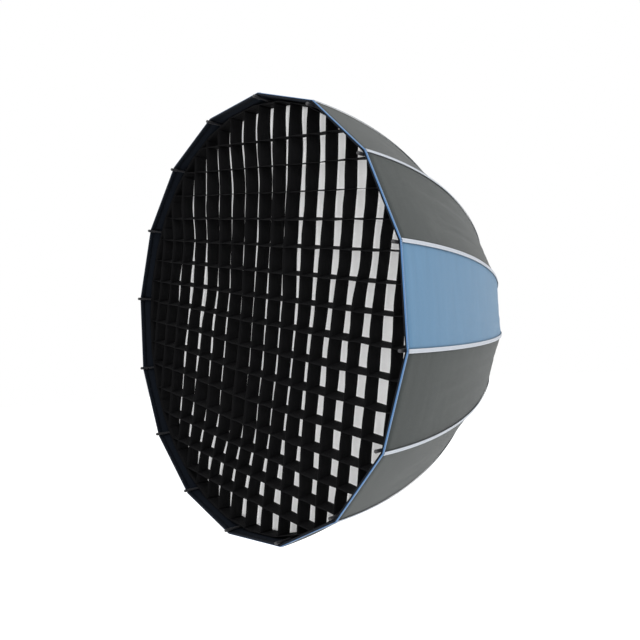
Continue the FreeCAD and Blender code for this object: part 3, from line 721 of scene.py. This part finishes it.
# %% [markdown]
# The grid and the diffuser hold to the inner band. When the shade folds, their edges go with the rods,
# and their middles hang back. A point near the middle is shared between the rod on its side and the one
# opposite. Close beside a rod, the notch that the cloth leaves for it goes with that rod alone. Each of
# the two has one harness with all sixteen rods, and lifts off with its own body.

# %% Harnesses of the grid and the diffuser
RIBS = [rib(n) for n in NUMBERS]
CLOTH_REACH = 0.43
NOTCH = 0.07  # share of a side, next to each rod


def mouth_shares(co):
    """Shares of all the rods for a point in the mouth."""
    radius = min(1.0, math.hypot(co.x, co.z) / CLOTH_REACH)
    place = (turn_of(co) + HALF) / STEP
    low = math.floor(place)
    over = max(0.0, min(1.0, (place - low - NOTCH) / (1 - 2 * NOTCH)))
    near = (1 + radius) / 2
    shares = {}
    for number, share in ((low + 1, 1 - over), (low + 2, over)):
        for side, part in ((0, near), (SIDES // 2, 1 - near)):
            key = rib(number + side)
            shares[key] = shares.get(key, 0) + share * part
    return shares


grid_harness = harness("grid_harness", "grid", RIBS, whole=True)
diffuser_harness = harness("diffuser_harness", "diffuser", RIBS, whole=True)
print("mouth harnesses carry", len(RIBS), "rods each")

# %% [markdown]
# The mouth's outline has sixteen sides, with a short flat across each corner where a rod passes. One
# function cuts anything laid flat in the mouth to that outline with bisect planes, which is exact on
# every side and needs no list of corners. A second function draws the outline alone as a band.


# %% Cutting to the mouth's outline
LONG_EDGE = 0.1
SIDE_CUTS = 9


def cut_to_mouth(bm, flat, corner):
    """Cuts to flat at the sides and to corner at the rods."""
    for number in range(2 * SIDES):
        turn = number * HALF
        normal = Vector((math.cos(turn), 0, -math.sin(turn)))
        reach = corner if number % 2 else flat
        bmesh.ops.bisect_plane(
            bm,
            geom=bm.verts[:] + bm.edges[:] + bm.faces[:],
            dist=1e-7,
            plane_co=normal * reach,
            plane_no=normal,
            clear_outer=True,
        )


def mouth_band(flat, corner, front, deep, rows):
    """The outline alone, deep along the axis."""
    bm = bmesh.new()
    bmesh.ops.create_circle(
        bm, cap_ends=True, segments=4, radius=1.0, matrix=Matrix.Rotation(math.pi / 2, 4, "X")
    )
    cut_to_mouth(bm, flat, corner)
    bmesh.ops.translate(bm, verts=bm.verts, vec=(0, front, 0))
    bmesh.ops.subdivide_edges(bm, edges=[e for e in bm.edges if e.calc_length() > LONG_EDGE], cuts=SIDE_CUTS)
    rim = [e for e in bm.edges if e.is_boundary]
    bmesh.ops.delete(bm, geom=bm.faces[:], context="FACES_KEEP_BOUNDARY")
    loose = [e for e in bm.edges if e.is_valid and e not in rim]
    bmesh.ops.delete(bm, geom=loose, context="EDGES")
    for _ in range(rows):
        made = bmesh.ops.extrude_edge_only(bm, edges=[e for e in bm.edges if e.is_valid and e in rim])
        rim = [g for g in made["geom"] if isinstance(g, bmesh.types.BMEdge)]
        ahead = {v for e in rim for v in e.verts}
        bmesh.ops.translate(bm, verts=list(ahead), vec=(0, deep / rows, 0))
    outwards(bm)
    mapped(bm, lambda co: (math.atan2(-co.z, co.x) * flat, co.y - front))
    return bm


# %% [markdown]
# The diffuser is a single white cloth with a hem standing back from its edge. It is a fine grid of
# faces cut to the outline, with a very shallow billow so that light isn't dead even on it.

# %% Diffuser
DIFFUSER_STEPS = 56
MOUTH_HALF = 0.46  # half of a square that covers the mouth
BILLOW = 1.1 * MM
diffuser_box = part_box("front_diffuser")
hem_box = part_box("diffuser_hem")


def outline_of(node):
    """The reach of a node's sides and of its cut corners."""
    flat = corner = 0.0
    side = Vector((1, 0, 0))
    rod = Vector((math.cos(HALF), 0, -math.sin(HALF)))
    for v in frame["nodes"][node].data.vertices:
        flat = max(flat, v.co.dot(side))
        corner = max(corner, v.co.dot(rod))
    return flat, corner


diffuser_flat, diffuser_corner = outline_of("front_diffuser")
print("diffuser reaches", round(diffuser_flat, 4), "to a side and", round(diffuser_corner, 4), "to a corner")

bm = bmesh.new()
bmesh.ops.create_grid(
    bm,
    x_segments=DIFFUSER_STEPS,
    y_segments=DIFFUSER_STEPS,
    size=MOUTH_HALF,
    matrix=Matrix.Rotation(math.pi / 2, 4, "X"),
)
cut_to_mouth(bm, diffuser_flat, diffuser_corner)
for v in bm.verts:
    inside = 1 - min(1.0, math.hypot(v.co.x, v.co.z) / diffuser_flat)
    wrinkle = noise.noise(Vector((v.co.x * 7, v.co.z * 4, 2.0)))
    v.co.y = diffuser_box[0].y + CLOTH / 2 + smooth(4 * inside) * BILLOW * wrinkle
mapped(bm, lambda co: (co.x, co.z))
diffuser = piece("diffuser_cloth", bm, [white_cloth], "diffuser", "white_cloth", CLOTH * 0.8, 0.0)
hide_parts("front_diffuser")
stretched(diffuser, diffuser_harness, mouth_shares)

hem_deep = hem_box[1].y - hem_box[0].y
bm = mouth_band(diffuser_flat - WEBBING, diffuser_corner - WEBBING, hem_box[0].y, hem_deep, 3)
diffuser_hem = piece("diffuser_hem_band", bm, [white_cloth], "diffuser", "white_cloth", WEBBING * 0.9, 1.0)
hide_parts("diffuser_hem")
stretched(diffuser_hem, diffuser_harness, mouth_shares)
print("diffuser points:", len(diffuser.data.vertices))

# %% [markdown]
# The grid is the part that shows most: upright and level strips of black cloth, sewn where they cross.
# It hangs from the band at its edge, so its front edges drop and wander while its back edges lie close
# to the diffuser. One field says how far the front edges have moved at each place, and both families
# of strips read it, so that crossings stay crossings. Between crossings each strip bows a little.

# %% Grid
grid_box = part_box("grid_cells")
grid_flat, grid_corner = outline_of("grid_cells")
edge_flat, edge_corner = outline_of("grid_edge")
PITCH = {"upright": 0.0487, "level": 0.0523}
COUNT = {"upright": 8, "level": 7}
GRID_TURN = math.radians(11)
GRID_FRONT, GRID_DEEP = grid_box[0].y, grid_box[1].y - grid_box[0].y
STRIP_WALL, BORDER_WALL, BORDER_IN = 0.9 * MM, 1.5 * MM, 1.6 * MM
STRIP_REACH = 0.96  # length of a strip before it's cut to the mouth
STRIP_STEPS, STRIP_ROWS = 160, 4
BOW = 1.4 * MM
slack = random.Random(16)
bows = {}

# Millimetres that the front edges have moved to the right. Columns are u from left to right, rows v from
# the top down. The grid was packed folded, and these long bends are what's left of the folds.
COLUMNS = [-0.292, -0.195, -0.097, 0, 0.097, 0.195, 0.292, 0.39]
ROWS = [0.4, 0.25, 0.15, 0.05, -0.05, -0.2, -0.4]
DRIFT = [
    [-20, -20, -24, -21, -15, -3, 7, 0],
    [-17, -6, 4, 0, -8, 7, 16, 15],
    [3, 10, 7, 7, -7, 5, 15, 7],
    [-1, 19, 15, 6, 1, 2, 2, 5],
    [-11, 6, 9, 4, 0, -4, 0, 7],
    [-19, -8, 1, -5, -9, -10, -1, 4],
    [-28, -25, -27, -31, -20, -4, -6, 0],
]
# How far the front edge of an upright strip is to the right of its back edge.
LEAN = [
    [9, 7, -1, -6, -10, -6, 7, 2],
    [2, -6, -1, -2, -6, 3, -2, -2],
    [4, -1, -3, 0, -6, -3, 3, 9],
    [4, 6, 0, 0, -4, -4, -2, 3],
    [0, 5, -5, -2, -4, -3, -1, -1],
    [2, -8, -6, -4, -4, -5, 2, 1],
    [14, 11, 8, -3, 3, -4, 5, 3],
]


def bow(family, number, cell):
    """The slack of one strip in one cell, the same each time it's asked for."""
    key = (family, number, cell)
    if key not in bows:
        bows[key] = slack.uniform(-1, 1) * BOW
    return bows[key]


def between(stops, value):
    """The stop before a value, the one after, and how far it is from one to the other."""
    ordered = sorted(stops)
    value = max(ordered[0], min(ordered[-1], value))
    low = max(n for n in range(len(ordered) - 1) if ordered[n] <= value)
    share = (value - ordered[low]) / (ordered[low + 1] - ordered[low])
    return stops.index(ordered[low]), stops.index(ordered[low + 1]), smooth(share)


def read(table, u, v):
    """A table's value at (u, v), in metres."""
    left, right, across = between(COLUMNS, u)
    low, high, up = between(ROWS, v)
    lower = table[low][left] * (1 - across) + table[low][right] * across
    upper = table[high][left] * (1 - across) + table[high][right] * across
    return (lower * (1 - up) + upper * up) * MM


def hill(value, centre, width):
    return math.exp(-(((value - centre) / width) ** 2))


def ripples(u, v, across, up, layer):
    """Smooth noise from -1 to 1; across and up say how many ripples there are in a metre."""
    return noise.noise(Vector((u * across, v * up, layer)))


BORDER_HOLD = 0.2  # outer share of the mouth, where the border holds the strips more and more
LEFT_FROM, LEFT_OVER = 0.25, 0.12
# The rest are millimetres: how unevenly the strips lean, here and more at the left, and how they wander.
LOOSE, LOOSER_LEFT, WANDER = 2, 9, 1.2
# Level strips rise at the left, dip below the middle and hang lower everywhere.
RISE_LEFT, DIP_LOW, LOWER_ALL = 12, 6, 3
# A front edge hangs below its back edge, less at the top.
DROP, DROP_LESS_TOP, DROP_UNEVEN = 7.5, 5, 3


def field(u, v, front):
    """How far a crossing at (u, v) has moved, u to the right and v up, front 1 to back 0."""
    calm = 1 - smooth((math.hypot(u, v) / grid_flat - (1 - BORDER_HOLD)) / BORDER_HOLD)
    loose = LOOSE + LOOSER_LEFT * smooth((-u - LEFT_FROM) / LEFT_OVER)
    lean = read(LEAN, u, v) + loose * MM * ripples(u, v, 9, 10, 9.1)
    du = read(DRIFT, u, v) + WANDER * MM * ripples(u, v, 9, 8, 1.7)
    dv = RISE_LEFT * smooth(-u / 0.3) * hill(v, -0.15, 0.15) - DIP_LOW * hill(v, -0.19, 0.1) - LOWER_ALL
    drop = DROP - DROP_LESS_TOP * smooth((v - 0.2) / 0.15) + DROP_UNEVEN * ripples(u, v, 6, 6, 4.3)
    return du - (1 - front) * lean * calm, (dv - (front - 0.5) * drop * (0.4 + 0.6 * calm)) * MM


def strip(bm, family, number):
    """One strip, laid flat and then set on edge across the mouth."""
    pitch, other = PITCH[family], PITCH["level" if family == "upright" else "upright"]
    centre = number * pitch
    made = bmesh.ops.create_grid(
        bm, x_segments=STRIP_STEPS, y_segments=STRIP_ROWS, size=0.5, matrix=Matrix.Identity(4)
    )
    for v in made["verts"]:
        long, front = v.co.x * STRIP_REACH, 0.5 - v.co.y
        cell = math.floor(long / other)
        share = long / other - cell
        side = bow(family, number, cell) * math.sin(math.pi * share) ** 2 * (0.3 + 0.7 * front)
        u, w = (centre, long) if family == "upright" else (long, centre)
        du, dw = field(u, w, front)
        if family == "upright":
            du += side
        else:
            dw += side
        v.co = Vector((u + du, GRID_FRONT + GRID_DEEP * (1 - front), w + dw))


def strips(family):
    """All the strips of one family as one piece."""
    bm = bmesh.new()
    for number in range(-COUNT[family], COUNT[family] + 1):
        strip(bm, family, number)
    mapped(bm, lambda co: (co.z if family == "upright" else co.x, co.y - GRID_FRONT))
    bmesh.ops.rotate(bm, verts=bm.verts, cent=(0, 0, 0), matrix=Matrix.Rotation(GRID_TURN, 3, "Y"))
    cut_to_mouth(bm, grid_flat, grid_corner)
    made = piece(f"grid_{family}_strips", bm, [black_cloth], "grid", "grid_cloth", STRIP_WALL, 0.0)
    return stretched(made, grid_harness, mouth_shares)


upright_strips, level_strips = strips("upright"), strips("level")
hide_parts("grid_cells")
bm = mouth_band(edge_flat - BORDER_IN, edge_corner - BORDER_IN, GRID_FRONT, GRID_DEEP, STRIP_ROWS)
grid_border = piece("grid_border", bm, [black_cloth], "grid", "grid_cloth", BORDER_WALL, 1.0)
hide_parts("grid_edge")
stretched(grid_border, grid_harness, mouth_shares)


# %% [markdown]
# The hard parts keep their CAD shapes and get a finish each. The rods are black from foot to cap, the
# feet and the hub are glass-filled nylon, and the insert is turned aluminium. A moulding has a fine
# grain, and a metal has drawn or turned lines; both are a little uneven from handling.

# %% Finishes of the hard parts
GRAIN, WEAR, DRAWN, SMUDGE = 1400, 40, 600, 25  # ripples in a metre


def moulded(name, colour, rough):
    paint = Paint(name)
    place = paint.place()
    fine = paint.mottle(place, GRAIN, 2.0)
    worn = paint.mottle(place, WEAR, 4.0)
    base = paint.mix(worn, tuple(c * 0.8 for c in colour), tuple(min(1, c * 1.3) for c in colour))
    paint.set(Base_Color=base, Roughness=rough + (worn - 0.5) * 0.2)
    return paint.bump(fine, 0.05 * MM, 0.5).material


def metal(name, colour, rough, lines=(1, 1, 1)):
    paint = Paint(name)
    place = paint.place()
    drawn = paint.mottle(place, DRAWN, 3.0, lines)
    smudge = paint.mottle(place, SMUDGE, 3.0)
    base = paint.mix(smudge, tuple(c * 0.85 for c in colour), colour)
    paint.set(Base_Color=base, Roughness=rough + (drawn - 0.5) * 0.25 + (smudge - 0.5) * 0.1, Metallic=1.0)
    return paint.bump(drawn, 0.02 * MM, 0.4).material


rod_finish = moulded("rod_and_cap", (0.018, 0.018, 0.020), rough=0.38)
foot_finish = moulded("foot_nylon", (0.020, 0.020, 0.021), rough=0.55)
hub_finish = moulded("hub_nylon", (0.026, 0.027, 0.029), rough=0.5)
clamp_finish = metal("clamp_steel", (0.30, 0.30, 0.31), 0.45)
pin_finish = metal("pin_steel", (0.60, 0.60, 0.61), 0.3)
screw_finish = metal("screw_black", (0.06, 0.06, 0.065), 0.4)
insert_finish = metal("insert_aluminium", (0.72, 0.72, 0.73), 0.32, lines=(1, 14, 1))


def finish_node(name, material):
    holder = frame["nodes"][name]
    holder.data.materials.clear()
    holder.data.materials.append(material)


for number in NUMBERS:
    finish_node(f"rib_rod_{number:02d}", rod_finish)
    finish_node(f"rib_foot_{number:02d}", foot_finish)
HUB_FINISHES = (
    ("hub_base", hub_finish),
    ("hub_cap", hub_finish),
    ("hinge_pins", pin_finish),
    ("hub_screws", screw_finish),
    ("rear_clamp", clamp_finish),
    ("bayonet_insert", insert_finish),
    ("insert_screws", screw_finish),
)
for name, material in HUB_FINISHES:
    finish_node(name, material)
print("finished CAD nodes:", 2 * SIDES + len(HUB_FINISHES))

# %% [markdown]
# Last, the floor. It gives off a little light, so that it runs into the white surround without a line.

# %% Floor
bm = bmesh.new()
bmesh.ops.create_grid(bm, x_segments=2, y_segments=2, size=FLOOR_SIZE)
bmesh.ops.translate(bm, verts=bm.verts, vec=(0, 0, cad_box[0].z - FLOOR_DROP))
floor_mesh = bpy.data.meshes.new("floor")
bm.to_mesh(floor_mesh)
bm.free()
floor = bpy.data.objects.new("floor", floor_mesh)
scene.collection.objects.link(floor)
floor_paint = Paint("pale_floor")
tint = floor_paint.mottle(floor_paint.place(), 0.6, 2.0)
floor_paint.set(
    Base_Color=floor_paint.mix(tint, (0.93, 0.93, 0.93), (0.96, 0.96, 0.96)),
    Roughness=0.9,
    Emission_Color=(1.0, 1.0, 1.0),
    Emission_Strength=0.35,
    Specular_IOR_Level=0.0,
)
floor_mesh.materials.append(floor_paint.material)

# %% [markdown]
# The CAD model's box is printed last.

# %% Sizes and the end
print("CAD box", [[round(x, 4) for x in c] for c in cad_box])
